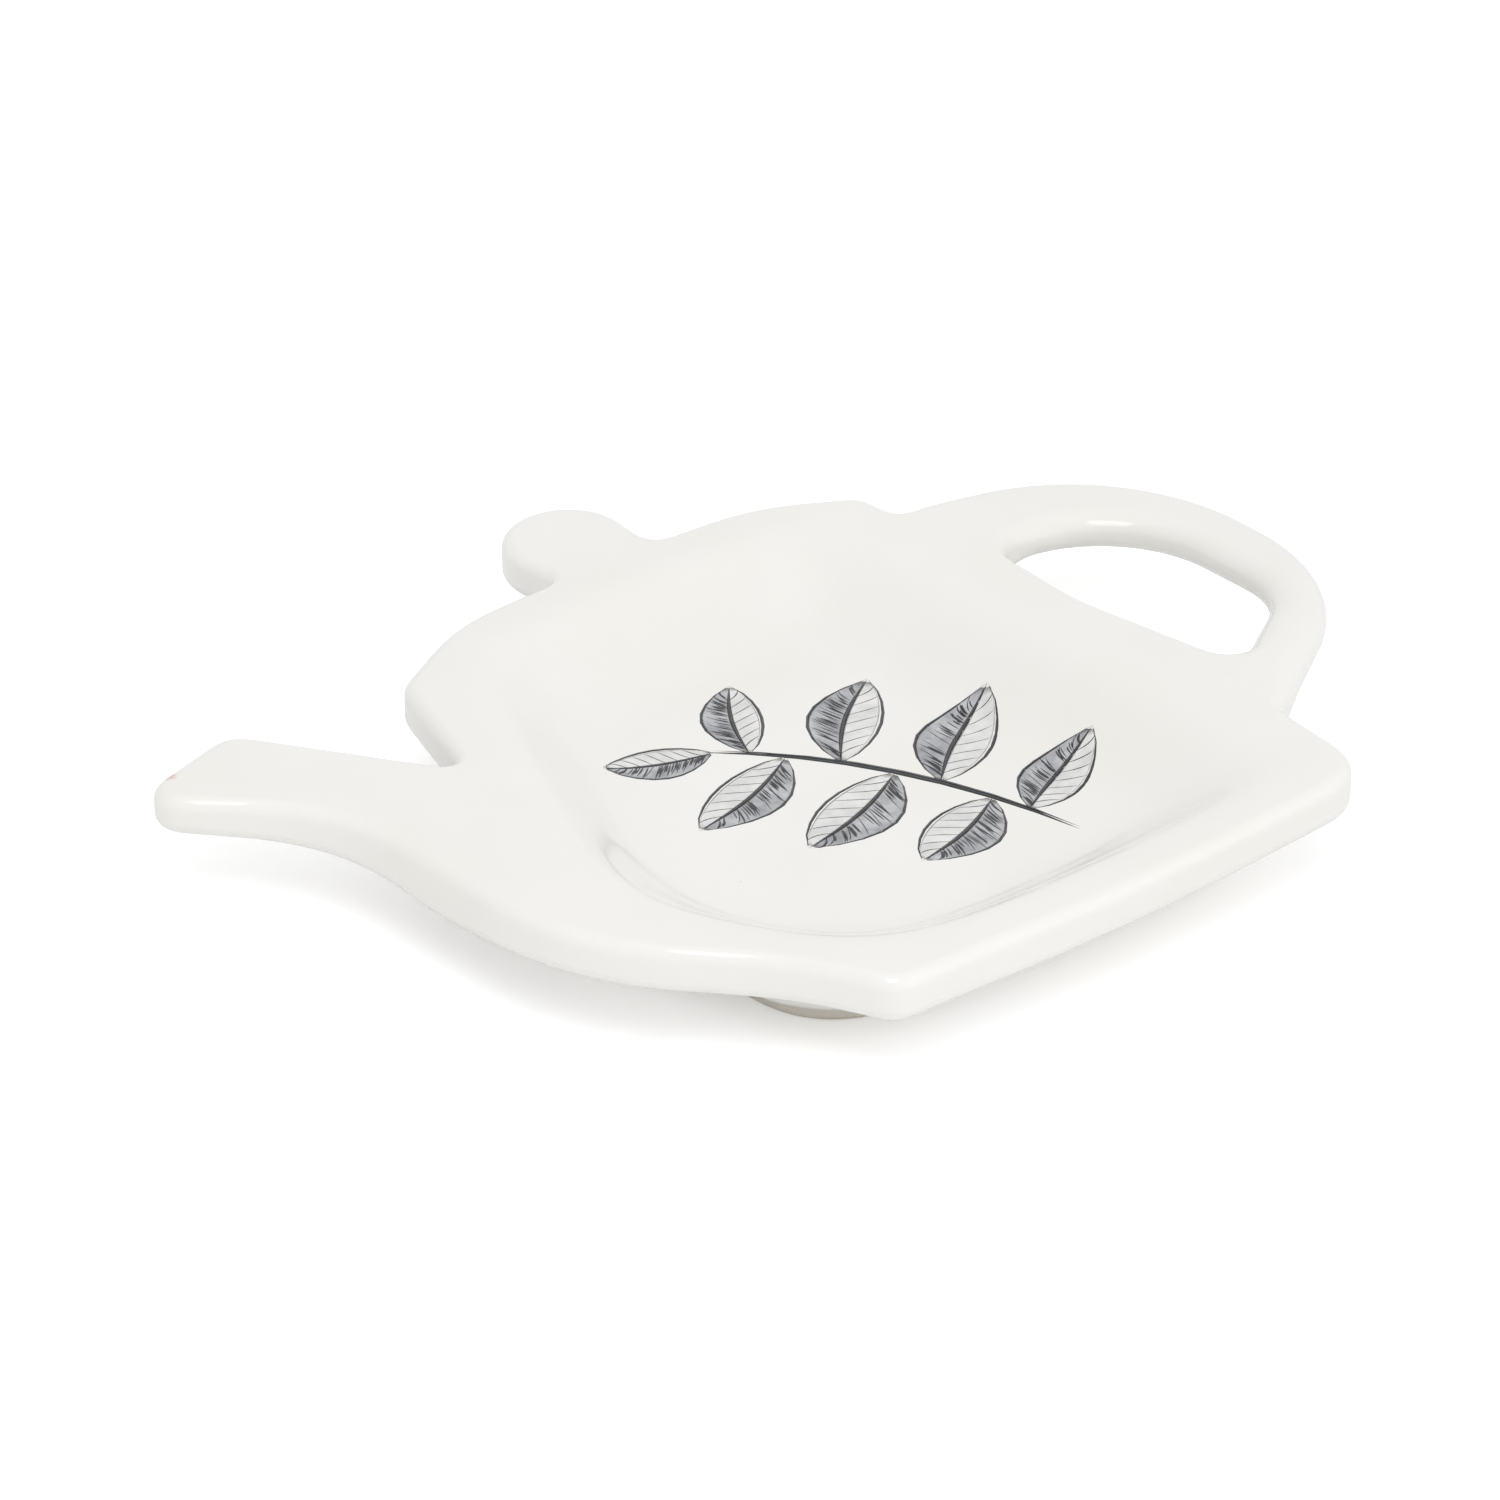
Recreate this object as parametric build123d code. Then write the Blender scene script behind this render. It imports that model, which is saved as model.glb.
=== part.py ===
"""Tea bag rest shaped like a teapot laid flat, in millimetres with +Z up.

The rest stands on its foot ring at z = 0. Seen from above, +Y runs from the straight base
to the knob of the lid, the spout is on the -X side and the handle is on the +X side.
"""
import os
from math import radians, sin, tan

from build123d import *

# Driving sizes, the four reaches measured from the middle of the foot
handle_reach = 72.6
handle_width = 8.6
handle_thickness = 5.2
handle_round = 2.4
spout_reach = 71.6
spout_thickness = 4.9
knob_reach = 64.6
base_reach = 47.9
base_bow = 1.9
rim_height = 14.8
rim_thickness = 5.8
rim_band = 2.6
rim_round = 1.6
well_depth = 7.8
floor_thickness = 4.2
foot_width = 4.5
foot_inset = 0.8
foot_round = 0.8
print_thickness = 0.15
stem_width = 1.0

# Corners of the rim as x, y and rounding radius, anticlockwise from the left end of the base
base_ends = base_bow - base_reach
gap_reach = handle_reach - handle_width
handle_root = 42.6
handle_top = 35.0
handle_low = -11.0
handle_bend = min(0.9 * (handle_reach - handle_root), 0.6 * (handle_top - handle_low))
gap_root = 44.2
gap_top = 21.6
gap_low = -8.0
gap_top_bend = min(0.77 * (gap_reach - gap_root), 0.52 * (gap_top - gap_low))
gap_low_bend = min(0.60 * (gap_reach - gap_root), 0.41 * (gap_top - gap_low))
gap_root_bend = 0.2 * (gap_reach - gap_root)
lid_height = 49.2
knob_middle = 6.2
knob_height = knob_reach - lid_height
knob_half = 0.568 * knob_height
knob_round = 0.506 * knob_height
neck_half = 0.468 * knob_height
belly_top = -16.3
belly_foot = base_ends + 10.6
belly_run = belly_top - belly_foot
base_corners = [(-31.3, base_ends, 3.5), (4.0, -base_reach, 300.0), (41.2, base_ends, 7.2)]
handle_corners = [
    (handle_root, -29.6, 1.8), (handle_reach, handle_low, handle_bend),
    (handle_reach, handle_top, handle_bend), (40.7, handle_top, 1.8),
]
lid_right_corners = [(40.6, 41.4, 3.5), (28.5, 48.5, 27.0)]
knob_corners = [
    (knob_middle + neck_half, lid_height, 2.0), (knob_middle + knob_half, knob_reach, knob_round),
    (knob_middle - knob_half, knob_reach, knob_round), (knob_middle - neck_half, lid_height, 2.0),
]
lid_left_corners = [(-18.0, 48.4, 27.0), (-31.7, 40.8, 4.5)]
spout_corners = [(-37.7, 20.7, 1.5), (-53.6, 45.2, 4.0), (-spout_reach, 39.8, 3.5), (-54.3, 23.4, 26.0)]
belly_corners = [(-53.4, belly_top, 1.73 * belly_run), (-36.2, belly_foot, 2.6 * belly_run)]
finger_gap_corners = [
    (gap_root, gap_top - 0.2, gap_root_bend), (43.0, 5.5, 40.0), (47.2, -18.1, 3.2),
    (gap_reach, gap_low, gap_low_bend), (gap_reach, gap_top, gap_top_bend),
]

# Corners of the well's flat floor, of its top edge and of the flat underside, in the same order
floor_corners = [
    (-29.5, -28.5, 13.0), (29.5, -28.5, 12.0), (28.5, 33.0, 14.0), (-15.0, 36.0, 12.0), (-32.5, -3.0, 16.0),
]
brim_base = base_ends + rim_band
brim_corners = [
    (-28.8, brim_base, 9.0), (38.6, brim_base, 9.0), (37.2, 43.6, 12.0), (-24.7, 44.0, 11.0),
    (-47.2, -10.2, 19.0),
]
underside_corners = [
    (-30.0, -33.4, 12.0), (30.5, -33.4, 11.0), (29.0, 34.0, 14.0), (-15.0, 37.0, 12.0), (-33.0, -3.0, 16.0),
]

# Levels of the well's wall: how far it has spread from the floor towards the brim, and its share of the depth
wall_levels = [
    (0.0, 0.0), (0.15, 0.06), (0.3, 0.2), (0.5, 0.43), (0.7, 0.68), (0.85, 0.86), (1.0, 1.0), (1.12, 1.12),
]

# Lines across the rim where the spout, the handle and the knob leave the dish
spout_joint = [(-38.9, 22.4), (-56.0, 3.0), (-90.0, 3.0), (-90.0, 60.0), (-44.0, 60.0)]
handle_joint = [
    (41.2, 34.8), (46.5, 19.5), (48.8, -15.5), (44.6, -31.2),
    (60.0, -60.0), (95.0, -60.0), (95.0, 60.0), (46.0, 60.0),
]
knob_joint = [(-15.0, 50.0), (27.0, 50.0), (27.0, 80.0), (-15.0, 80.0)]

# The printed sprig: its stem as start, middle and end, then for each leaf its root as a share of the stem,
# its tip and its half width
stem_points = [(15.0, -25.5), (7.5, -2.0), (-7.0, 16.5)]
leaves = [
    (0.14, (28.0, -13.5), 4.0),
    (0.24, (-3.5, -19.0), 4.4),
    (0.38, (26.5, 3.0), 4.6),
    (0.50, (-11.5, -8.5), 4.6),
    (0.64, (19.5, 16.5), 4.4),
    (0.78, (-18.5, 2.5), 4.2),
    (0.87, (6.0, 26.0), 3.6),
    (0.96, (-18.0, 20.5), 3.4),
]


def rounded_outline(corners):
    """Flat face bounded by straight sides and one arc at each corner."""
    arcs = []
    count = len(corners)
    for index, (x, y, radius) in enumerate(corners):
        corner = Vector(x, y)
        back = (Vector(*corners[index - 1][:2]) - corner).normalized()
        ahead = (Vector(*corners[(index + 1) % count][:2]) - corner).normalized()
        half_angle = radians(back.get_angle(ahead)) / 2
        reach = radius / tan(half_angle)
        crown = corner + (back + ahead).normalized() * (radius / sin(half_angle) - radius)
        arcs.append((corner + back * reach, crown, corner + ahead * reach))
    edges = []
    for index, (start, crown, end) in enumerate(arcs):
        edges.append(ThreePointArc(start, crown, end))
        edges.append(Line(end, arcs[(index + 1) % count][0]))
    return make_face(edges)


def at_height(z, shape):
    """The shape raised to height z."""
    return Pos(0, 0, z) * shape


def rim_blank(thickness, edge_round):
    """The whole teapot outline as one slab with soft edges and a finger gap in the handle."""
    outline = (
        base_corners + handle_corners + lid_right_corners + knob_corners
        + lid_left_corners + spout_corners + belly_corners
    )
    face = rounded_outline(outline) - rounded_outline(finger_gap_corners)
    slab = extrude(at_height(rim_height - thickness, face), thickness)
    levels = slab.edges().group_by(Axis.Z)
    return fillet(levels[0] + levels[-1], edge_round)


def wall_section(low_corners, share):
    """Outline part of the way from a flat at the bottom to the well's brim."""
    corners = []
    for low, high in zip(low_corners, brim_corners):
        corners.append([a + (b - a) * share for a, b in zip(low, high)])
    return rounded_outline(corners)


def tray(low_corners, low_height):
    """Solid with the sloping wall of the well, one well deep and a little more, on a flat of its own."""
    sections = []
    for share, rise in wall_levels:
        sections.append(at_height(low_height + well_depth * rise, wall_section(low_corners, share)))
    return loft(sections)


def whole_ware():
    """The rim, the shell under its well, and the hollow of the well cut out of both."""
    floor_height = rim_height - well_depth
    hollow = tray(floor_corners, floor_height)
    shell = tray(underside_corners, floor_height - floor_thickness)
    return rim_blank(rim_thickness, rim_round) + shell - hollow


def beyond(joint_line):
    """Block over everything on the far side of a joint, from the table to well above the rim."""
    return extrude(make_face(Polyline(*joint_line, close=True)), 2 * rim_height)


def foot_ring():
    """Raised ring under the well that the rest stands on."""
    outer = offset(rounded_outline(underside_corners), -foot_inset)
    ring = outer - offset(outer, -foot_width)
    foot_height = rim_height - well_depth - floor_thickness
    solid = extrude(ring, foot_height)
    return fillet(solid.edges().group_by(Axis.Z)[0], foot_round)


def leaf_face(root, tip, half_width):
    """Pointed leaf between two arcs."""
    tip = Vector(*tip)
    across = (tip - root).normalized().rotate(Axis.Z, 90) * half_width
    middle = (root + tip) / 2
    return make_face([ThreePointArc(root, middle + across, tip), ThreePointArc(tip, middle - across, root)])


def print_sprig():
    """Fired-on print of a leafy sprig, lying on the floor of the well."""
    stem = ThreePointArc(*stem_points)
    face = trace(stem, stem_width)
    for share, tip, half_width in leaves:
        face = face + leaf_face(stem @ share, tip, half_width)
    return extrude(at_height(rim_height - well_depth, face), print_thickness)


def build_parts():
    """Every named piece in the working position, with the middle of the whole outline over the origin."""
    ware = whole_ware()
    spout_block = beyond(spout_joint)
    handle_block = beyond(handle_joint)
    knob_block = beyond(knob_joint)
    parts = {
        "dish": ware - spout_block - handle_block - knob_block,
        "spout": rim_blank(spout_thickness, rim_round) & spout_block,
        "lid_knob": ware & knob_block,
        "handle_loop": rim_blank(handle_thickness, handle_round) & handle_block,
        "foot_ring": foot_ring(),
        "print_sprig": print_sprig(),
    }
    box = ware.bounding_box()
    centre = Pos(-(box.min.X + box.max.X) / 2, -(box.min.Y + box.max.Y) / 2, 0)
    return {name: centre * solid for name, solid in parts.items()}


os.makedirs("parts", exist_ok=True)
for name, solid in build_parts().items():
    export_step(solid, f"parts/{name}.step")
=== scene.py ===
# %% [markdown]
# # A tea bag rest in the outline of a teapot
#
# The real thing is a small glazed dish: one piece of clay pressed into a mould, dipped in a
# cream glaze and fired, with a print in its well and an unglazed foot under it. This lesson
# builds the finished surfaces with numpy over the CAD model, which fixes every size and place.

# %% Load the CAD frame
import math

import bmesh
import bpy
import numpy as np
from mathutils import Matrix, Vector
from mathutils.geometry import delaunay_2d_cdt


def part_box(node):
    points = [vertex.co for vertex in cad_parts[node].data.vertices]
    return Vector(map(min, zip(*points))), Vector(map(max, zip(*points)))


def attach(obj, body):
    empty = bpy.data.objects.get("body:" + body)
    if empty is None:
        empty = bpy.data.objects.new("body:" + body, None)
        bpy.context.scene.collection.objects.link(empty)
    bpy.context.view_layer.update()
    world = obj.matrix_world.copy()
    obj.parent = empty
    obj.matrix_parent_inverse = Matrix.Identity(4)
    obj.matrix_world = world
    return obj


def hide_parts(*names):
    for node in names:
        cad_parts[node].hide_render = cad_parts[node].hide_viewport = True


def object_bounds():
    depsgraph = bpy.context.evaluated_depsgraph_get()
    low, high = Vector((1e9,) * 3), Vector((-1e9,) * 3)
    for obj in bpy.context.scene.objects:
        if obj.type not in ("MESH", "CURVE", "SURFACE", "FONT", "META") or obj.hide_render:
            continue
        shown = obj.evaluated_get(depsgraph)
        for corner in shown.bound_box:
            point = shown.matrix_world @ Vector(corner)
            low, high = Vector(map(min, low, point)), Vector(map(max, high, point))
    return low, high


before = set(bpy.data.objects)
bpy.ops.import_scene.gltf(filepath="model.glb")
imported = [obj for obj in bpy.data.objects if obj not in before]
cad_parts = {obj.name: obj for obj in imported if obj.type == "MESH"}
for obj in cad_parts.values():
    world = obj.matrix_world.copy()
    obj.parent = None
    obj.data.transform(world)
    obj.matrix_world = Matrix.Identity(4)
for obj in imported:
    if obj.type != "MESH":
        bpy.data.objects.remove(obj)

MM = 0.001
cad_low, cad_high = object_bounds()
print("CAD box in mm:", [round(v / MM, 2) for v in (*cad_low, *cad_high)])

# %% [markdown]
# ## The levels
#
# The dish is a plate with a well in it. Its heights are read from the boxes of the CAD nodes,
# in millimetres, so the finished glaze lies exactly where the solid parts are.

# %% Read the levels from the nodes


def node_box(node):
    """Lowest and highest corner of a CAD node, in millimetres."""
    low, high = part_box(node)
    return np.array(low) / MM, np.array(high) / MM


rim_top = node_box("dish")[1][2]
floor_level = node_box("print_sprig")[0][2]
underside_level = node_box("foot_ring")[1][2]
handle_thickness = rim_top - node_box("handle_loop")[0][2]
spout_thickness = rim_top - node_box("spout")[0][2]
print(f"rim {rim_top:.2f}, well floor {floor_level:.2f}, underside {underside_level:.2f}")
print(f"handle {handle_thickness:.2f} thick, spout {spout_thickness:.2f}")

# %% [markdown]
# ## The outline as a rounded path
#
# A maker draws the teapot as straight runs joined by arcs, so the outline is a list of corners,
# each with its own radius. A curve object with a bevel could follow it, but a path worked out
# with numpy gives the same points to the rim, the flats and the well, so they share their edges.

# %% Round a list of corners


def unit(vectors):
    """Each vector divided by its own length."""
    return vectors / np.linalg.norm(vectors, axis=-1, keepdims=True)


def rounded_loop(corners, arc_points=28, side_points=28):
    """Closed loop round a polygon whose corners are (x, y, radius).

    At a corner, with unit vectors back and ahead along its two sides and h half the angle
    between them, the arc's centre lies radius / sin h along the bisector, its ends lie
    radius / tan h from the corner, and its points turn evenly through pi - 2 h. Points in
    even steps fill the straight sides.
    """
    spots = np.array(corners, float)
    corner, radius = spots[:, :2], spots[:, 2]
    back = unit(np.roll(corner, 1, axis=0) - corner)
    ahead = unit(np.roll(corner, -1, axis=0) - corner)
    half = np.arccos((back * ahead).sum(axis=1)) / 2
    centre = corner + unit(back + ahead) * (radius / np.sin(half))[:, None]
    first = corner + back * (radius / np.tan(half))[:, None]
    hand = np.sign(back[:, 1] * ahead[:, 0] - back[:, 0] * ahead[:, 1])
    start = np.arctan2(first[:, 1] - centre[:, 1], first[:, 0] - centre[:, 0])
    turn = hand * (np.pi - 2 * half)
    angle = start[:, None] + turn[:, None] * np.linspace(0, 1, arc_points)
    arcs = centre[:, None] + radius[:, None, None] * np.stack([np.cos(angle), np.sin(angle)], axis=-1)
    share = np.linspace(0, 1, side_points + 2)[1:-1, None]
    sides = arcs[:, -1:] * (1 - share) + np.roll(arcs, -1, axis=0)[:, :1] * share
    return np.concatenate([arcs, sides], axis=1).reshape(-1, 2)


def evenly(loop, step):
    """The same closed loop with points one step apart, read off by distance along it."""
    closed = np.vstack([loop, loop[:1]])
    distance = np.r_[0, np.cumsum(np.hypot(*np.diff(closed, axis=0).T))]
    count = round(distance[-1] / step)
    marks = np.arange(count) * distance[-1] / count
    return np.stack([np.interp(marks, distance, closed[:, axis]) for axis in (0, 1)], axis=1)


def soften(loop, spread):
    """Closed loop blurred by a Gaussian of that many points, so arcs run into sides without a jolt."""
    waves = np.fft.fftfreq(len(loop))
    fade = np.exp(-2 * (np.pi * waves * spread) ** 2)
    return np.fft.ifft(np.fft.fft(loop, axis=0) * fade[:, None], axis=0).real


# %% The teapot outline and the finger gap
base_ends, base_middle = -46.0, -47.9
handle_reach, handle_width = 72.6, 8.6
gap_reach = handle_reach - handle_width
knob_top = 64.6

teapot_corners = [
    (-31.3, base_ends, 3.5), (4.0, base_middle, 300.0), (41.2, base_ends, 7.2),
    (42.6, -29.6, 1.8), (handle_reach, -11.0, 27.0), (handle_reach, 35.0, 27.0), (40.7, 35.0, 1.8),
    (40.6, 41.4, 3.5), (28.5, 48.5, 27.0),
    (13.4, 49.2, 2.0), (14.95, knob_top, 7.8), (-2.55, knob_top, 7.8), (-1.0, 49.2, 2.0),
    (-18.0, 48.4, 27.0), (-31.7, 40.8, 4.5),
    (-37.7, 20.7, 1.5), (-53.6, 45.2, 4.0), (-71.6, 39.8, 3.5), (-54.3, 23.4, 26.0),
    (-53.4, -16.3, 33.0), (-36.2, -35.4, 49.7),
]
gap_corners = [
    (gap_reach, 21.6, 15.2), (gap_reach, -8.0, 11.9),
    (47.2, -18.1, 3.2), (43.0, 5.5, 40.0), (44.2, 21.4, 4.0),
]

outline_step = 0.6
outline_spread = 1.3
drawn_outline = evenly(rounded_loop(teapot_corners), outline_step)
cad_middle = np.array([cad_low[0] + cad_high[0], cad_low[1] + cad_high[1]]) / 2 / MM
drawing_shift = cad_middle - (drawn_outline.min(axis=0) + drawn_outline.max(axis=0)) / 2


def centred(corners):
    """Corners moved from the drawing, whose zero is under the foot, to the CAD frame."""
    return [(x + drawing_shift[0], y + drawing_shift[1], radius) for x, y, radius in corners]


outline = soften(evenly(rounded_loop(centred(teapot_corners)), outline_step), outline_spread)
gap = soften(evenly(rounded_loop(centred(gap_corners)), outline_step), outline_spread)
print(f"outline {len(outline)} points, {np.ptp(outline, axis=0).round(2)} mm")
print(f"drawing moved by {drawing_shift.round(3)} mm")

# %% [markdown]
# ## A plate that is not quite even
#
# Pressed clay dries unevenly. The plate swells where the spout leaves the belly, thins towards
# the spout's tip and along the handle, and its top has a slow ripple that bends reflections.
# Each is a function of the place on the plate, so every patch that touches a spot agrees there.

# %% Thickness and ripple of the plate
plate_thickness = 5.9
belly_swell = 1.4
belly_spot = np.array([-54.0, 6.0]) + drawing_shift
belly_spread = 9.0
spout_start, spout_end = -52.0 + drawing_shift[0], -70.0 + drawing_shift[0]
handle_start, handle_end = 42.0 + drawing_shift[0], 52.0 + drawing_shift[0]
ripple_depth = 0.10
ripple_length, cross_length = 34.0, 44.2
ripple_slant, cross_slant = 0.4, -0.3


def ease(value, start, end):
    """Smooth step from 0 at start to 1 at end: 3 s^2 - 2 s^3 of the share s between them."""
    share = np.clip((value - start) / (end - start), 0, 1)
    return share * share * (3 - 2 * share)


def thickness(x, y):
    """Plate thickness: a swell at the belly, less the thinning towards the spout's tip and the handle."""
    away_squared = (x - belly_spot[0]) ** 2 + (y - belly_spot[1]) ** 2
    swell = belly_swell * np.exp(-away_squared / (2 * belly_spread**2))
    spout_thin = (plate_thickness - spout_thickness) * ease(x, spout_start, spout_end)
    handle_thin = (plate_thickness - handle_thickness) * ease(x, handle_start, handle_end)
    return plate_thickness + swell - spout_thin - handle_thin


def ripple(x, y):
    """Slow waves that never rise above zero: two sines multiplied, less one, times half the depth."""
    wave = np.sin(2 * np.pi * (x + ripple_slant * y) / ripple_length)
    cross_wave = np.sin(2 * np.pi * (y + cross_slant * x) / cross_length)
    return ripple_depth * (wave * cross_wave - 1) / 2


def top_at(x, y):
    """Height of the plate's top."""
    return rim_top + ripple(x, y)


def bottom_at(x, y):
    """Height of the plate's underside."""
    return rim_top - thickness(x, y)


print(f"thickest {thickness(*belly_spot):.2f} mm at the belly, handle {thickness(handle_end, 0.0):.2f} mm")

# %% [markdown]
# ## The rounded rim
#
# A wet sponge rounds every edge of a pressed dish before it is fired, and the glaze rounds it
# further. The rim is a half-round section carried along the outline: a quarter ellipse in from
# the top, a short wall, and a quarter ellipse under. The handle's section is rounder still.

# %% Carry the rim section along a loop
edge_reach, edge_drop = 1.6, 1.7
handle_edge_reach, handle_edge_drop = 3.3, 2.45


def inward(loop):
    """Unit vectors to the left of a closed loop's direction, where its clay lies."""
    along = np.roll(loop, -1, axis=0) - np.roll(loop, 1, axis=0)
    return unit(np.stack([-along[:, 1], along[:, 0]], axis=1))


def grid_faces(rows, columns, wrap_columns=True):
    """Quads of a grid whose points are numbered row by row; the last column joins the first."""
    row = np.arange(rows - 1)[:, None]
    column = np.arange(columns if wrap_columns else columns - 1)[None]
    after = (column + 1) % columns
    here, below = row * columns, (row + 1) * columns
    corners = [here + column, here + after, below + after, below + column]
    return np.stack(corners, axis=-1).reshape(-1, 4).tolist()


def rim_band(loop, quarter_points=10):
    """Grid of rim points, from the top's inner line down to the underside's inner line.

    On each quarter ellipse the inset is reach * (1 - cos a) and the depth is drop * (1 - sin a).
    """
    angle = np.linspace(np.pi / 2, 0, quarter_points)
    inset = np.r_[1 - np.cos(angle), 1 - np.cos(angle[::-1])]
    on_handle = ease(loop[:, 0], handle_start, handle_end)
    reach = edge_reach + (handle_edge_reach - edge_reach) * on_handle
    drop = edge_drop + (handle_edge_drop - edge_drop) * on_handle
    place = loop[None] + inward(loop)[None] * (inset[:, None] * reach[None])[..., None]
    x, y = place[..., 0], place[..., 1]
    depth = np.r_[1 - np.sin(angle), 1 - np.sin(angle[::-1])][:, None] * drop[None]
    upper = np.arange(len(inset))[:, None] < quarter_points
    z = np.where(upper, top_at(x, y) - depth, bottom_at(x, y) + depth)
    return np.stack([x, y, z], axis=-1)


outer_rim = rim_band(outline)
gap_rim = rim_band(gap)
print(f"rim grids {outer_rim.shape[:2]} and {gap_rim.shape[:2]}")

# %% [markdown]
# ## The well
#
# The well is a shallow tray pressed into the plate, so soft that its wall leaves the floor and
# meets the rim without a line. Five sides make it. Each side says how far a spot has gone from
# the floor's edge (0) to the brim (1), a smooth maximum joins the five, and an S-curve turns that
# share into a height. So the height of any spot is known, also of one under the print.

# %% Height of any spot in the well
base_side = ((-28.8, -43.2), (38.9, -43.2), 18.0, 1.6)
handle_side = ((38.9, -43.2), (37.4, 43.6), 21.0, 0.0)
lid_side = ((37.4, 43.6), (-24.8, 44.2), 20.0, 1.8)
spout_side = ((-24.8, 44.2), (-47.5, -10.5), 18.0, 0.0)
belly_side = ((-47.5, -10.5), (-28.8, -43.2), 19.0, 1.2)
well_sides = [base_side, handle_side, lid_side, spout_side, belly_side]
corner_softness = 0.22
low_blend, high_blend = 0.50, 0.42


def side_share(side, x, y):
    """One plus the distance past a side of the brim over the wall's run.

    The side bows out by 4 t (1 - t) times its bow, where t is the share of its length.
    """
    (start_x, start_y), (end_x, end_y), run, bow = side
    length = math.hypot(end_x - start_x, end_y - start_y)
    along_x, along_y = (end_x - start_x) / length, (end_y - start_y) / length
    from_x, from_y = x - drawing_shift[0] - start_x, y - drawing_shift[1] - start_y
    t = np.clip((from_x * along_x + from_y * along_y) / length, 0, 1)
    outward = from_x * along_y - from_y * along_x
    return 1 + (outward - 4 * bow * t * (1 - t)) / run


def well_share(x, y):
    """Smooth maximum of the five shares: softness times the log of the sum of exp(share / softness)."""
    shares = np.stack([side_share(side, x, y) for side in well_sides])
    return corner_softness * np.log(np.exp(shares / corner_softness).sum(axis=0))


def wall_rise(share):
    """S-curve from 0 to 1: its slope eases up over the low blend, stays even, then eases down.

    The eased part of a slope, 3 s^2 - 2 s^3, adds up to blend * (s^3 - s^4 / 2).
    """
    low = np.clip(share / low_blend, 0, 1)
    high = np.clip((1 - share) / high_blend, 0, 1)
    start = low_blend * (low**3 - low**4 / 2)
    end = high_blend * (high**3 - high**4 / 2)
    even = np.clip(share - low_blend, 0, 1 - low_blend - high_blend)
    return (start + even + high_blend / 2 - end) / (1 - (low_blend + high_blend) / 2)


def well_height(x, y):
    """Height of the glaze over a spot in the well."""
    rise = wall_rise(np.clip(well_share(x, y), 0, 1))
    return floor_level + ripple(x, y) + (rim_top - floor_level) * rise


well_middle = np.array([-2.0, 0.0]) + drawing_shift
print(f"well floor at its middle {well_height(*well_middle):.2f} mm")

# %% Rings from the middle of the floor to the brim
ray_count = 480
search_reach, halvings = 80.0, 40
angles = np.linspace(0, 2 * np.pi, ray_count, endpoint=False)
rays = np.stack([np.cos(angles), np.sin(angles)], axis=-1)


def ring_reach(levels):
    """Distance along each ray where the share reaches each level, found by halving the span each time."""
    near = np.zeros((len(levels), len(angles)))
    far = np.full_like(near, search_reach)
    for _ in range(halvings):
        half_way = (near + far) / 2
        spot = well_middle + rays * half_way[..., None]
        short = well_share(spot[..., 0], spot[..., 1]) < levels[:, None]
        near, far = np.where(short, half_way, near), np.where(short, far, half_way)
    return near


def well_rings(floor_steps=12, wall_steps=38):
    """Grid of the well: even rings out to the floor's edge, then rings of even share out to the brim."""
    wall_reach = ring_reach(np.linspace(0, 1, wall_steps))
    floor_reach = np.linspace(0, 1, floor_steps)[:-1, None] * wall_reach[:1]
    place = well_middle + rays * np.concatenate([floor_reach, wall_reach])[..., None]
    return np.dstack([place, well_height(place[..., 0], place[..., 1])])


well = well_rings()
brim = well[-1, :, :2]
clearance = np.linalg.norm(brim[:, None] - outer_rim[0, None, :, :2], axis=-1).min()
print(f"well grid {well.shape[:2]}, brim {clearance:.2f} mm inside the rim")

# %% [markdown]
# ## The belly under the plate
#
# Turned over, the tray shows as a low bowl under the plate with a flat base for the foot. Its
# rings run from the plate's underside, below the brim, in to the middle of the base.

# %% Rings under the plate
base_corners = [
    (-30.0, -33.4, 12.0), (30.5, -33.4, 11.0), (29.0, 34.0, 14.0), (-15.0, 37.0, 12.0),
    (-33.0, -3.0, 16.0),
]
base_spread = 2.0
base_edge = soften(evenly(rounded_loop(centred(base_corners)), outline_step), base_spread)


def by_angle(loop):
    """A loop round the well's middle, read off at the shared rays."""
    away = loop - well_middle
    reach = np.interp(angles, np.arctan2(away[:, 1], away[:, 0]), np.hypot(*away.T), period=2 * np.pi)
    return well_middle + rays * reach[:, None]


def bowl_rings(wall_steps=16, base_steps=8):
    """Grid of the bowl: S-curved rings from the brim down to the base's edge, then in to its middle."""
    base = by_angle(base_edge)
    wall_share = np.linspace(1, 0, wall_steps)[:, None]
    wall = base + (brim - base) * wall_share[..., None]
    wall_z = underside_level + (bottom_at(*brim.T) - underside_level) * wall_rise(wall_share)
    base_rings = well_middle + (base - well_middle) * np.linspace(1, 0, base_steps)[1:, None, None]
    base_z = np.full(base_rings.shape[:2], underside_level)
    return np.concatenate([np.dstack([wall, wall_z]), np.dstack([base_rings, base_z])])


bowl = bowl_rings()
print(f"bowl grid {bowl.shape[:2]}, base {np.ptp(base_edge, axis=0).round(1)} mm across")

# %% [markdown]
# ## The flats between rim and well
#
# Spout, knob and handle stand off the dish, and the finger gap goes through it, so no single grid
# covers the plate's flat top. A Delaunay net fills it: the rim lines and the brim are fixed edges,
# a loose lattice of points lies between them, and triangles outside the clay are dropped. Four guard
# points far outside keep the long straight edges off the net's own border, where slivers get lost.

# %% Fill a flat between its loops
lattice_step = 2.4
lattice_margin = 1.1
guard_margin = 20.0
same_spot = 1e-6


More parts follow.
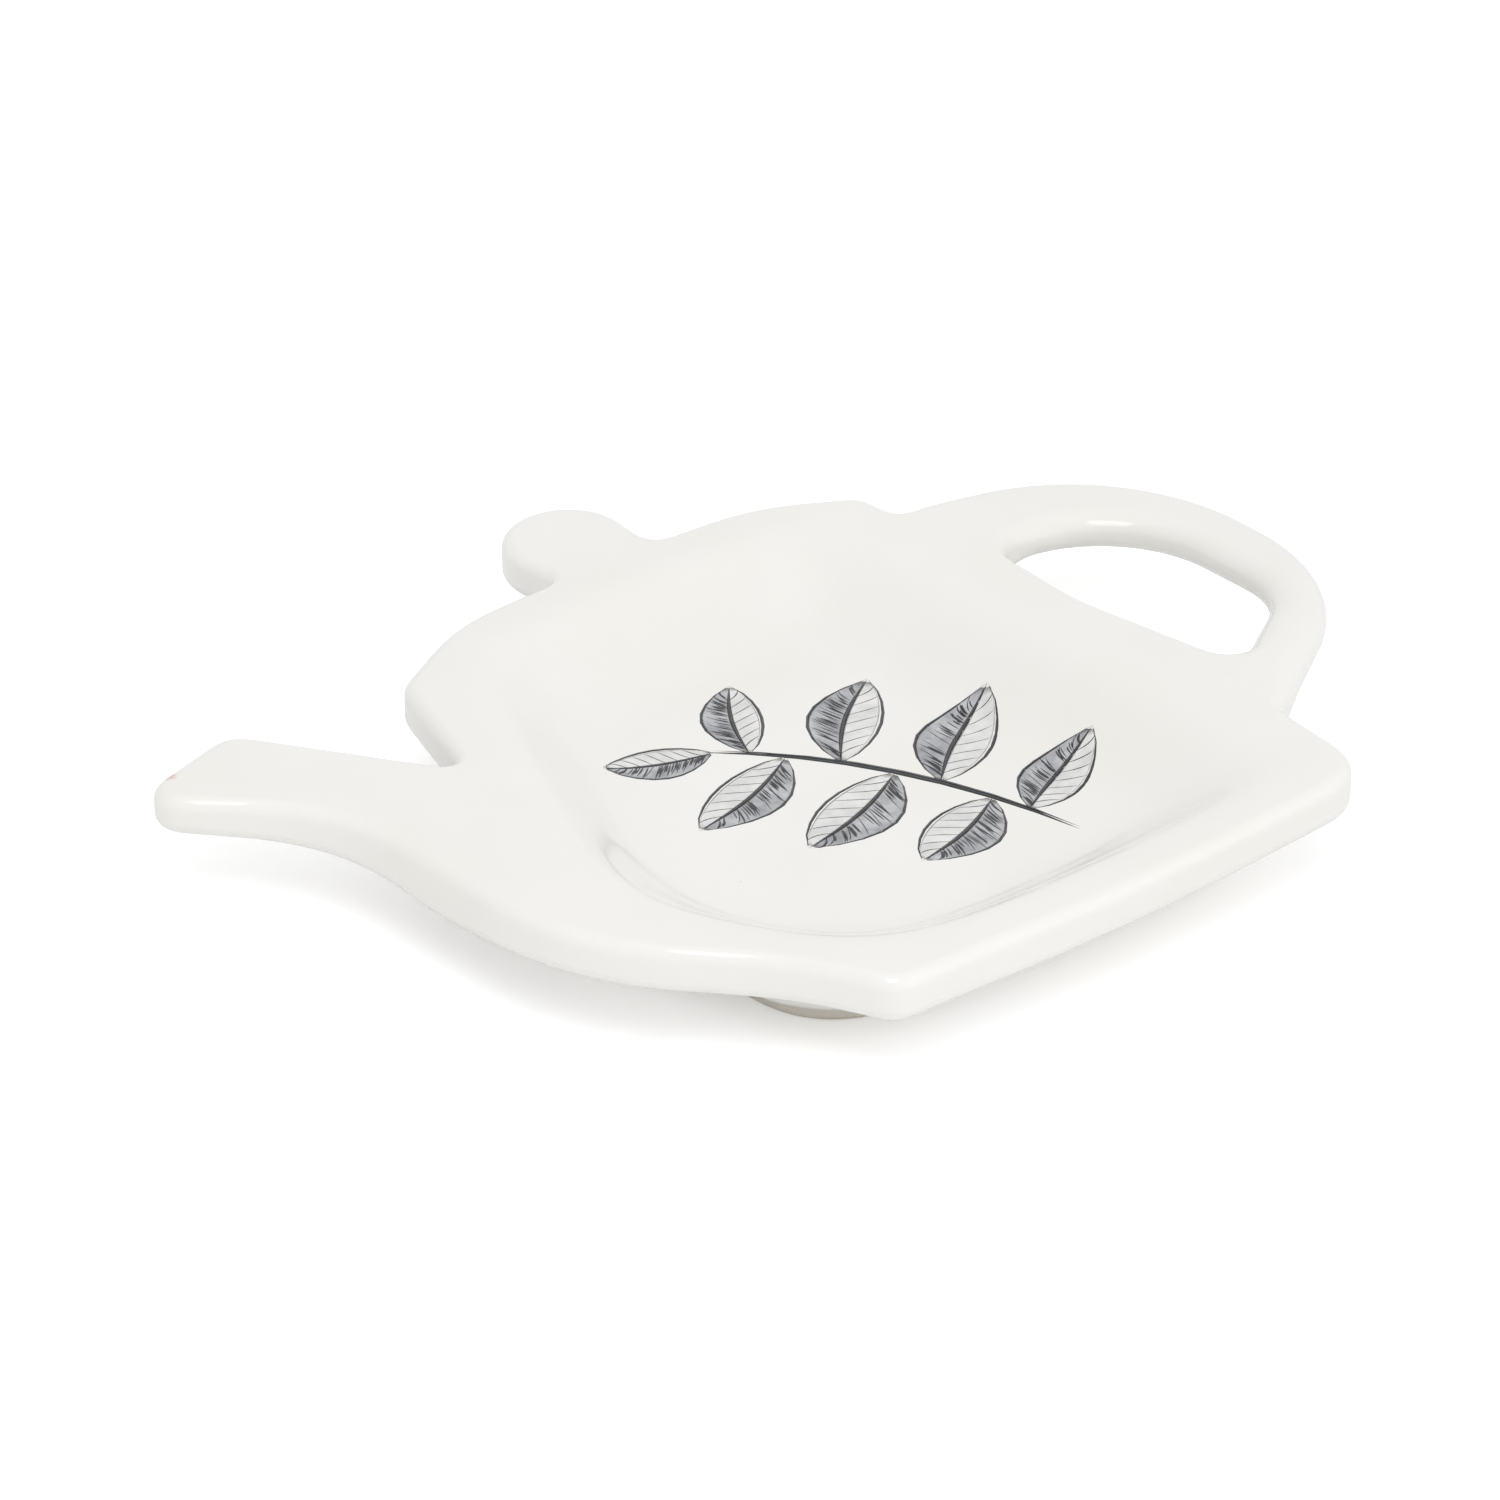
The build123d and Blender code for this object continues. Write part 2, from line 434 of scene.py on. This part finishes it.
def inside(points, loop):
    """True where a level line from the point crosses the closed loop an odd number of times."""
    start, end = loop, np.roll(loop, -1, axis=0)
    x, y = points[:, :1], points[:, 1:]
    spans = (start[:, 1] > y) != (end[:, 1] > y)
    rise = np.where(end[:, 1] == start[:, 1], 1, end[:, 1] - start[:, 1])
    crossing = start[:, 0] + (y - start[:, 1]) * (end[:, 0] - start[:, 0]) / rise
    return (spans & (x < crossing)).sum(axis=1) % 2 == 1


def in_clay(points, edge, holes):
    """True inside the edge loop and outside each hole."""
    return inside(points, edge) & ~np.any([inside(points, hole) for hole in holes], axis=0)


def lattice(edge, holes):
    """Points of a triangular lattice that lie in the clay, a margin away from every loop."""
    low, high = edge.min(axis=0), edge.max(axis=0)
    row_step = lattice_step * math.sqrt(3) / 2
    x, y = np.meshgrid(np.arange(low[0], high[0], lattice_step), np.arange(low[1], high[1], row_step))
    x[1::2] += lattice_step / 2
    points = np.stack([x.ravel(), y.ravel()], axis=1)
    loops = np.vstack([edge, *holes])
    clear = np.linalg.norm(points[:, None] - loops[None], axis=-1).min(axis=1) > lattice_margin
    return points[clear & in_clay(points, edge, holes)]


def flat_between(edge, holes, height_at):
    """Delaunay triangles in the clay between an edge loop and its holes, at the height of each place."""
    loops = [edge, *holes]
    starts = np.cumsum([0] + [len(loop) for loop in loops])
    fixed = []
    for first, loop in zip(starts, loops):
        fixed += [(first + k, first + (k + 1) % len(loop)) for k in range(len(loop))]
    low, high = edge.min(axis=0) - guard_margin, edge.max(axis=0) + guard_margin
    guard = np.array([low, (high[0], low[1]), high, (low[0], high[1])])
    points = np.vstack([*loops, lattice(edge, holes), guard])
    spots = [Vector(point) for point in points]
    found, _, triangles, origins, _, _ = delaunay_2d_cdt(spots, fixed, [], 0, same_spot)
    place = np.array([points[origin[0]] if origin else spot for spot, origin in zip(found, origins)])
    triangles = np.array([list(triangle) for triangle in triangles])
    kept = triangles[in_clay(place[triangles].mean(axis=1), edge, holes)]
    used, corners = np.unique(kept, return_inverse=True)
    return np.column_stack([place[used], height_at(*place[used].T)]), corners.reshape(-1, 3).tolist()


top_flat = flat_between(outer_rim[0, :, :2], [gap_rim[0, :, :2], brim], top_at)
under_flat = flat_between(outer_rim[-1, :, :2], [gap_rim[-1, :, :2], brim], bottom_at)
print(f"top flat {len(top_flat[1])} triangles, under flat {len(under_flat[1])}")

# %% [markdown]
# ## One skin of glaze
#
# The dish, spout, knob and handle were pressed and glazed as one, so the eye sees no seam. Their
# patches are joined into one closed mesh: points that fall together are merged and the faces are
# turned outwards. Every other piece goes through the same function.

# %% Join patches into a piece
merge_reach = 0.004
sliver_reach = 1e-6


def make_piece(name, patches, nodes):
    """Joins patches of points (in mm) and faces into one smooth mesh that stands for the CAD nodes."""
    starts = np.cumsum([0] + [len(points) for points, _ in patches])
    points = np.vstack([points for points, _ in patches]) * MM
    faces = [[k + start for k in face] for (_, patch), start in zip(patches, starts) for face in patch]
    mesh = bpy.data.meshes.new(name)
    mesh.from_pydata(points, [], faces)
    skin = bmesh.new()
    skin.from_mesh(mesh)
    bmesh.ops.remove_doubles(skin, verts=skin.verts, dist=merge_reach * MM)
    bmesh.ops.dissolve_degenerate(skin, edges=skin.edges, dist=sliver_reach * MM)
    bmesh.ops.recalc_face_normals(skin, faces=skin.faces)
    open_edges = sum(not edge.is_manifold for edge in skin.edges)
    skin.to_mesh(mesh)
    skin.free()
    mesh.shade_smooth()
    piece = bpy.data.objects.new(name, mesh)
    bpy.context.scene.collection.objects.link(piece)
    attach(piece, "root")
    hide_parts(*nodes)
    print(f"{name}: {len(mesh.polygons)} faces, {open_edges} open edges")
    return piece


def as_patch(grid):
    """Points and quads of a grid whose columns close on themselves."""
    return grid.reshape(-1, 3), grid_faces(*grid.shape[:2])


ware_patches = [as_patch(grid) for grid in (outer_rim, gap_rim, well, bowl)] + [top_flat, under_flat]
ware_nodes = ["dish", "spout", "lid_knob", "handle_loop"]
glazed_ware = make_piece("glazed_ware", ware_patches, ware_nodes)

# %% [markdown]
# ## The foot
#
# A dish that is glazed all over would stick to the kiln shelf, so a raised ring under the base is
# wiped bare. It is a small section carried along the base's edge, with its lower edges rubbed round.

# %% Carry the foot's section along the base
foot_width = 4.5
foot_inset = 0.8
foot_round = 0.8
foot_bed = 0.6


def foot_grid(arc_points=7):
    """Closed section, bedded a little into the base, carried along the inset base edge."""
    angle = np.linspace(0, np.pi / 2, arc_points)
    outer_across = foot_round * (1 - np.cos(angle))
    outer_height = foot_round * (1 - np.sin(angle))
    across = np.r_[0, outer_across, foot_width - outer_across[::-1], foot_width]
    top = underside_level + foot_bed
    height = np.r_[top, outer_height, outer_height[::-1], top]
    path = base_edge
    place = path[None] + inward(path)[None] * (foot_inset + across)[:, None, None]
    return np.dstack([place, np.repeat(height[:, None], len(path), axis=1)])


foot_section = foot_grid()
closed_foot = np.concatenate([foot_section, foot_section[:1]])
foot = make_piece("foot", [as_patch(closed_foot)], ["foot_ring"])

# %% [markdown]
# ## The printed sprig
#
# The well carries a fired print of a leafy sprig in charcoal ink with grey washes. A picture
# texture could hold it, but strokes with real edges stay sharp at any distance. Each stroke is a
# flat tapered tube that lies half in the glaze, and each wash is a thin pillow under the strokes.

# %% Strokes of ink on the floor
stem_points = np.array([(15.0, -25.5), (7.5, -2.0), (-7.0, 16.5)]) + drawing_shift
leaves = [
    (0.14, (28.0, -13.5), 4.0), (0.24, (-3.5, -19.0), 4.4), (0.38, (26.5, 3.0), 4.6),
    (0.50, (-11.5, -8.5), 4.6), (0.64, (19.5, 16.5), 4.4), (0.78, (-18.5, 2.5), 4.2),
    (0.87, (6.0, 26.0), 3.6), (0.96, (-18.0, 20.5), 3.4),
]
leaf_bow, leaf_fullness = 0.06, 0.8
vein_first, vein_last = 0.10, 0.78
vein_slant, vein_reach = 0.15, 0.92
hatch_first, hatch_last = 0.05, 0.86
hatch_shortest, hatch_longest = 0.45, 0.98
hatch_slant, hatch_start = 0.12, 0.05
margin_widths, midrib_width, vein_width = [0.42, 0.34], 0.55, 0.22
hatch_thinnest, hatch_thickest = 0.2, 0.42
ink_film = 0.05
stroke_points = 9
stroke_fullness = 0.6


def stem_at(share):
    """Point of the stem: a quadratic curve through its three points, at a share of its run."""
    share = np.asarray(share, float)[..., None]
    start, middle, end = stem_points
    control = 2 * middle - (start + end) / 2
    return start * (1 - share) ** 2 + control * 2 * share * (1 - share) + end * share**2


def on_leaf(leaf, along, across):
    """Point of a leaf: root to tip by along, bowed a little, and aside by across half widths.

    The half width swells and narrows along the leaf as a power of a sine.
    """
    root_share, tip, half_width = leaf
    root = stem_at(root_share)
    run = np.array(tip) + drawing_shift - root
    side = np.array([-run[1], run[0]]) / np.linalg.norm(run)
    bow = leaf_bow * np.linalg.norm(run) * np.sin(np.pi * along)
    swing = half_width * across * np.sin(np.pi * np.clip(along, 0, 1)) ** leaf_fullness + bow
    return root + along[..., None] * run + swing[..., None] * side


def leaf_strokes(leaf, dice, vein_count=7, hatch_count=34):
    """Margins, midrib, veins on both sides and hatching on the shaded side, as places and widths."""
    share = np.linspace(0, 1, stroke_points)
    edge_sign = np.array([[-1.0], [1.0]])
    margin_along = np.repeat(share[None], 2, axis=0)
    margin_across = edge_sign * np.ones_like(margin_along)
    vein_root = np.repeat(np.linspace(vein_first, vein_last, vein_count), 2)[:, None]
    vein_sign = np.tile([-1.0, 1.0], vein_count)[:, None]
    vein_along = vein_root + vein_slant * share
    vein_across = vein_sign * vein_reach * share
    hatch_root = np.sort(dice.uniform(hatch_first, hatch_last, hatch_count))[:, None]
    hatch_length = dice.uniform(hatch_shortest, hatch_longest, hatch_count)[:, None]
    hatch_along = hatch_root + hatch_slant * hatch_length * share
    hatch_across = hatch_start + hatch_length * share
    along = np.vstack([margin_along, share[None], vein_along, hatch_along])
    across = np.vstack([margin_across, 0 * share[None], vein_across, hatch_across])
    even_width = [*margin_widths, midrib_width] + 2 * vein_count * [vein_width]
    width = np.r_[even_width, dice.uniform(hatch_thinnest, hatch_thickest, hatch_count)]
    return on_leaf(leaf, along, across), width


def ink_tubes(place, width):
    """Diamond tubes along strokes, tapered: half the width to each side and one film up and down."""
    taper = np.sin(np.pi * np.linspace(0, 1, stroke_points)) ** stroke_fullness
    taper[[0, -1]] = 0
    along = unit(np.gradient(place, axis=1))
    side = np.stack([-along[..., 1], along[..., 0]], axis=-1)
    half = width[:, None] / 2 * taper
    level = well_height(place[..., 0], place[..., 1])
    rings = []
    for across, up in ((1, 0), (0, 1), (-1, 0), (0, -1)):
        spot = place + side * (across * half)[..., None]
        rings.append(np.dstack([spot, level + up * ink_film * taper]))
    return np.stack(rings, axis=2)


def stroke_patches(place, width):
    """One closed patch for each stroke."""
    tubes = ink_tubes(place, width)
    faces = grid_faces(stroke_points, 4)
    return [(tube.reshape(-1, 3), faces) for tube in tubes]


stem_widths = [0.95, 0.6]
second_share, second_offset = 0.97, [0.35, 0.25]
dice = np.random.default_rng(7)
drawn = [leaf_strokes(leaf, dice) for leaf in leaves]
stem_share = np.linspace(0, 1, stroke_points)[None] * np.array([[1.0], [second_share]])
stem_side = np.array([[[0.0, 0.0]], [second_offset]])
stem_place = stem_at(stem_share) + stem_side
all_place = np.concatenate([stem_place, *[place for place, _ in drawn]])
all_width = np.concatenate([stem_widths, *[width for _, width in drawn]])
sprig_lines = make_piece("sprig_lines", stroke_patches(all_place, all_width), ["print_sprig"])

# %% Washes of grey under the strokes
wash_film = 0.02
wash_ends = (0.03, 0.97)
dark_span, pale_span = (0.04, 0.96), (-0.90, -0.06)


def wash_patch(leaf, near, far, steps=15):
    """Pillow over a leaf between two shares across it: the film, up and down, times the root of two sines."""
    lengthwise, crosswise = np.linspace(*wash_ends, steps), np.linspace(near, far, steps)
    along, across = np.meshgrid(lengthwise, crosswise, indexing="ij")
    place = on_leaf(leaf, along, across)
    swell = np.sin(np.pi * np.linspace(0, 1, steps))
    film = wash_film * np.sqrt(np.clip(swell[:, None] * swell[None], 0, 1))
    level = well_height(place[..., 0], place[..., 1])
    faces = grid_faces(steps, steps, wrap_columns=False)
    upper = np.dstack([place, level + film]).reshape(-1, 3)
    lower = np.dstack([place, level - film]).reshape(-1, 3)
    return [(upper, faces), (lower, faces)]


dark_washes = [patch for leaf in leaves for patch in wash_patch(leaf, *dark_span)]
pale_washes = [patch for leaf in leaves for patch in wash_patch(leaf, *pale_span)]
sprig_dark_wash = make_piece("sprig_dark_wash", dark_washes, ["print_sprig"])
sprig_pale_wash = make_piece("sprig_pale_wash", pale_washes, ["print_sprig"])

# %% [markdown]
# ## Materials
#
# Each finish is a Principled shader fed by a few noise patterns. Colours are written as sRGB hex
# values, as a paint card gives them, and patterns are sized in millimetres on Object coordinates,
# so they stay on the piece when the camera moves.

# %% Helpers for materials


def linear(hex_colour):
    """Linear RGBA of an sRGB hex colour: c / 12.92 near black, else ((c + 0.055) / 1.055) ^ 2.4."""
    parts = np.array([int(hex_colour[k : k + 2], 16) / 255 for k in (1, 3, 5)])
    curved = np.where(parts <= 0.04045, parts / 12.92, ((parts + 0.055) / 1.055) ** 2.4)
    return (*curved.tolist(), 1.0)


def add_node(tree, kind, inputs=None, **settings):
    """Adds a node, sets its properties, and fills its inputs: a socket is linked, a value is set."""
    node = tree.nodes.new(kind)
    for name, value in settings.items():
        setattr(node, name, value)
    for name, value in (inputs or {}).items():
        if isinstance(value, bpy.types.NodeSocket):
            tree.links.new(value, node.inputs[name])
        else:
            node.inputs[name].default_value = value
    return node


def per_mm(length):
    """Texture scale at which one cell of the pattern is that many millimetres."""
    return 1 / (length * MM)


MIX_FACTOR, MIX_A, MIX_B, MIX_COLOUR = 0, 6, 7, 2
noise_low, noise_high = 0.35, 0.65
glaze_ior, clay_ior = 1.5, 1.45


def new_material(name):
    """Empty material with its tree, its Object coordinates and its output."""
    material = bpy.data.materials.new(name)
    material.use_nodes = True
    tree = material.node_tree
    tree.nodes.clear()
    place = add_node(tree, "ShaderNodeTexCoord").outputs["Object"]
    output = add_node(tree, "ShaderNodeOutputMaterial")
    return material, tree, place, output


# %% [markdown]
# ### Cream glaze
#
# A white-firing clay under a clear glaze: glassy, with a wide soft highlight on every rounded
# edge, a faintly cloudy cream body, and here and there a pin speck of iron.

# %% Cream glaze
cloud_size = 22.0
speck_cell = 8.0
speck_size = 0.12
speck_rarity = 0.92
rust_spot = (-64.8 + drawing_shift[0], 40.9 + drawing_shift[1], rim_top - 0.4)
rust_size, rust_core, rust_strength = 1.1, 0.2, 0.75
peel_size, peel_depth, peel_strength = 5.0, 0.03, 0.25
least_rough, most_rough = 0.07, 0.13


def cream_glaze():
    """Cream body in two close tones, specks at some cell centres, one rust spot, slight orange peel."""
    material, tree, place, output = new_material("cream_glazed_stoneware")
    clouds = {"Vector": place, "Scale": per_mm(cloud_size), "Detail": 3.0}
    cloud = add_node(tree, "ShaderNodeTexNoise", clouds)
    tone_limits = {"Value": cloud.outputs["Fac"], "From Min": noise_low, "From Max": noise_high}
    tone = add_node(tree, "ShaderNodeMapRange", tone_limits)
    body_colours = {MIX_FACTOR: tone.outputs[0], MIX_A: linear("#F4F3F0"), MIX_B: linear("#F2F0EB")}
    body = add_node(tree, "ShaderNodeMix", body_colours, data_type="RGBA")
    cells = add_node(tree, "ShaderNodeTexVoronoi", {"Vector": place, "Scale": per_mm(speck_cell)})
    size = speck_size / speck_cell
    dot_limits = {"Value": cells.outputs["Distance"], "From Min": size / 2, "From Max": size}
    dot = add_node(tree, "ShaderNodeMapRange", {**dot_limits, "To Min": 1.0, "To Max": 0.0})
    chance = add_node(tree, "ShaderNodeSeparateColor", {"Color": cells.outputs["Color"]})
    draw = {0: chance.outputs[0], 1: speck_rarity}
    chosen = add_node(tree, "ShaderNodeMath", draw, operation="GREATER_THAN")
    both = {0: dot.outputs[0], 1: chosen.outputs[0]}
    speck = add_node(tree, "ShaderNodeMath", both, operation="MULTIPLY")
    speck_colours = {MIX_A: body.outputs[MIX_COLOUR], MIX_B: linear("#C2B3A0")}
    speck_colours[MIX_FACTOR] = speck.outputs[0]
    specked = add_node(tree, "ShaderNodeMix", speck_colours, data_type="RGBA")
    spot = [value * MM for value in rust_spot]
    away = add_node(tree, "ShaderNodeVectorMath", {0: place, 1: spot}, operation="DISTANCE")
    reach = rust_size * MM
    rust_limits = {"Value": away.outputs["Value"], "From Min": rust_core * reach, "From Max": reach}
    rust = add_node(tree, "ShaderNodeMapRange", {**rust_limits, "To Min": rust_strength, "To Max": 0.0})
    rust_colours = {MIX_A: specked.outputs[MIX_COLOUR], MIX_B: linear("#C98A68")}
    rust_colours[MIX_FACTOR] = rust.outputs[0]
    rusted = add_node(tree, "ShaderNodeMix", rust_colours, data_type="RGBA")
    peel = add_node(tree, "ShaderNodeTexNoise", {"Vector": place, "Scale": per_mm(peel_size), "Detail": 2.0})
    rough_limits = {"Value": peel.outputs["Fac"], "To Min": least_rough, "To Max": most_rough}
    rough = add_node(tree, "ShaderNodeMapRange", rough_limits)
    relief = {"Height": peel.outputs["Fac"], "Strength": peel_strength, "Distance": peel_depth * MM}
    bump = add_node(tree, "ShaderNodeBump", relief)
    finish = {"Base Color": rusted.outputs[MIX_COLOUR], "Roughness": rough.outputs[0]}
    finish.update({"Normal": bump.outputs[0], "IOR": glaze_ior})
    shader = add_node(tree, "ShaderNodeBsdfPrincipled", finish)
    tree.links.new(shader.outputs[0], output.inputs[0])
    return material


glazed_ware.data.materials.append(cream_glaze())
print("glaze:", glazed_ware.data.materials[0].name)

# %% [markdown]
# ### Bare foot
#
# The wiped foot is dry fired clay: ivory, dull, and gritty to a fingertip.

# %% Bare fired clay
clay_cloud_size = 6.0
grit_size, grit_depth, grit_strength = 0.5, 0.1, 0.4
clay_roughness = 0.7


def bare_clay():
    """Two ivory tones in clay-sized clouds, with a fine grit in the relief."""
    material, tree, place, output = new_material("bare_fired_clay")
    clouds = {"Vector": place, "Scale": per_mm(clay_cloud_size), "Detail": 4.0}
    cloud = add_node(tree, "ShaderNodeTexNoise", clouds)
    clay_colours = {MIX_FACTOR: cloud.outputs["Fac"], MIX_A: linear("#EAE5DA"), MIX_B: linear("#DED7CA")}
    clay = add_node(tree, "ShaderNodeMix", clay_colours, data_type="RGBA")
    grit = add_node(tree, "ShaderNodeTexNoise", {"Vector": place, "Scale": per_mm(grit_size), "Detail": 3.0})
    relief = {"Height": grit.outputs["Fac"], "Strength": grit_strength, "Distance": grit_depth * MM}
    bump = add_node(tree, "ShaderNodeBump", relief)
    finish = {"Base Color": clay.outputs[MIX_COLOUR], "Roughness": clay_roughness}
    finish.update({"Normal": bump.outputs[0], "IOR": clay_ior})
    shader = add_node(tree, "ShaderNodeBsdfPrincipled", finish)
    tree.links.new(shader.outputs[0], output.inputs[0])
    return material


foot.data.materials.append(bare_clay())
print("foot:", foot.data.materials[0].name)

# %% [markdown]
# ### Fired ink
#
# Ceramic ink sinks into the glaze as it melts: it keeps the glaze's gloss, and its grey is a
# little patchy where the colour pooled.

# %% Fired ink in three strengths
pool_size = 3.0
ink_roughness = 0.12


def fired_ink(name, thin, pooled):
    """Two greys in patches a few millimetres wide, under the gloss of the glaze."""
    material, tree, place, output = new_material(name)
    patches = {"Vector": place, "Scale": per_mm(pool_size), "Detail": 5.0, "Roughness": 0.65}
    pool = add_node(tree, "ShaderNodeTexNoise", patches)
    pool_limits = {"Value": pool.outputs["Fac"], "From Min": noise_low, "From Max": noise_high}
    share = add_node(tree, "ShaderNodeMapRange", pool_limits)
    ink_colours = {MIX_FACTOR: share.outputs[0], MIX_A: linear(thin), MIX_B: linear(pooled)}
    ink = add_node(tree, "ShaderNodeMix", ink_colours, data_type="RGBA")
    finish = {"Base Color": ink.outputs[MIX_COLOUR], "Roughness": ink_roughness, "IOR": glaze_ior}
    shader = add_node(tree, "ShaderNodeBsdfPrincipled", finish)
    tree.links.new(shader.outputs[0], output.inputs[0])
    return material


sprig_lines.data.materials.append(fired_ink("charcoal_ink", "#3A3B40", "#232428"))
sprig_dark_wash.data.materials.append(fired_ink("grey_ink_wash", "#C4C5C8", "#8E9095"))
sprig_pale_wash.data.materials.append(fired_ink("pale_ink_wash", "#ECEBE8", "#D6D6D6"))
print("inks:", [piece.data.materials[0].name for piece in (sprig_lines, sprig_dark_wash, sprig_pale_wash)])

# %% [markdown]
# ## Studio
#
# The dish was photographed in a white tent: even light from all round, a soft box high on the
# camera's side that draws the highlights along the edges, a weak one overhead, and a large one far
# off at the front right. The floor is white and keeps the dish's shadow.

# %% Floor and world
floor_size = 6.0
floor_glow = 0.30
fibre_size = 40.0
paper_roughness = 0.9


def white_floor():
    """White paper: matte, and lifted a little for the camera so that it reads as pure white."""
    material, tree, place, output = new_material("white_paper")
    fibre = add_node(tree, "ShaderNodeTexNoise", {"Vector": place, "Scale": per_mm(fibre_size)})
    paper_colours = {MIX_FACTOR: fibre.outputs["Fac"], MIX_A: linear("#FDFDFD"), MIX_B: linear("#FBFBFB")}
    paper = add_node(tree, "ShaderNodeMix", paper_colours, data_type="RGBA")
    light_path = add_node(tree, "ShaderNodeLightPath")
    lift = {0: light_path.outputs["Is Camera Ray"], 1: floor_glow}
    seen = add_node(tree, "ShaderNodeMath", lift, operation="MULTIPLY")
    finish = {"Base Color": paper.outputs[MIX_COLOUR], "Roughness": paper_roughness}
    glow = {"Emission Color": linear("#FFFFFF"), "Emission Strength": seen.outputs[0]}
    shader = add_node(tree, "ShaderNodeBsdfPrincipled", {**finish, **glow})
    tree.links.new(shader.outputs[0], output.inputs[0])
    return material


half = floor_size / 2
floor_mesh = bpy.data.meshes.new("floor")
floor_corners = [(-half, -half, 0), (half, -half, 0), (half, half, 0), (-half, half, 0)]
floor_mesh.from_pydata(floor_corners, [], [(0, 1, 2, 3)])
floor = bpy.data.objects.new("floor", floor_mesh)
bpy.context.scene.collection.objects.link(floor)
floor.data.materials.append(white_floor())

tent_strength = 0.715
world = bpy.data.worlds.new("white_tent")
world.use_nodes = True
tent = world.node_tree
tent.nodes.clear()
light_path = add_node(tent, "ShaderNodeLightPath")
seen_directly = light_path.outputs["Is Camera Ray"]
for kind_of_ray in ("Is Glossy Ray", "Is Transmission Ray"):
    either = {0: seen_directly, 1: light_path.outputs[kind_of_ray]}
    seen_directly = add_node(tent, "ShaderNodeMath", either, operation="MAXIMUM").outputs[0]
tent_limits = {"Value": seen_directly, "To Min": tent_strength, "To Max": 1.0}
strength = add_node(tent, "ShaderNodeMapRange", tent_limits)
white_light = {"Color": linear("#FFFFFF"), "Strength": strength.outputs[0]}
light = add_node(tent, "ShaderNodeBackground", white_light)
add_node(tent, "ShaderNodeOutputWorld", {0: light.outputs[0]})
bpy.context.scene.world = world
print(f"floor {floor_size} m, tent at {tent_strength}")

# %% Lamps


def soft_box(name, spot, width, power):
    """Square area lamp at a spot in metres, facing the dish."""
    lamp = bpy.data.lights.new(name, "AREA")
    lamp.size = width
    lamp.energy = power
    stand = bpy.data.objects.new(name, lamp)
    stand.location = spot
    stand.rotation_euler = (-Vector(spot)).to_track_quat("-Z", "Y").to_euler()
    bpy.context.scene.collection.objects.link(stand)
    return stand


high_front = soft_box("high_front_box", (-0.36, -0.42, 0.95), width=0.5, power=2.6)
overhead = soft_box("overhead_box", (-0.10, -0.15, 1.1), width=0.9, power=0.6)
front_right = soft_box("front_right_box", (0.9, -1.9, 1.0), width=2.2, power=6.5)
print("lamps:", [lamp.name for lamp in (high_front, overhead, front_right)])

# %% [markdown]
# ## Camera
#
# The photograph looks down at 30 degrees from the front left with a long lens, so the sides
# hardly converge. The camera is set by that angle, its distance and the spot that it aims at.

# %% Camera at the photograph's angle
camera_distance = 741.2
camera_elevation = math.radians(30.0)
camera_turn = math.radians(40.5)
aim_in_drawing = np.array([-10.826, 2.503])
camera_aim = np.array([*(aim_in_drawing + drawing_shift), rim_top])
camera_lens = 155.52

back = np.array([-math.sin(camera_turn), -math.cos(camera_turn), math.tan(camera_elevation)])
view = bpy.data.cameras.new("photo_view")
view.lens = camera_lens
view.clip_end = 50.0
camera = bpy.data.objects.new("photo_view", view)
camera.location = (camera_aim + unit(back) * camera_distance) * MM
camera.rotation_euler = Vector(-back).to_track_quat("-Z", "Y").to_euler()
bpy.context.scene.collection.objects.link(camera)
bpy.context.scene.camera = camera
bpy.context.scene.view_settings.view_transform = "Standard"
print("camera in mm:", [round(value / MM, 1) for value in camera.location])
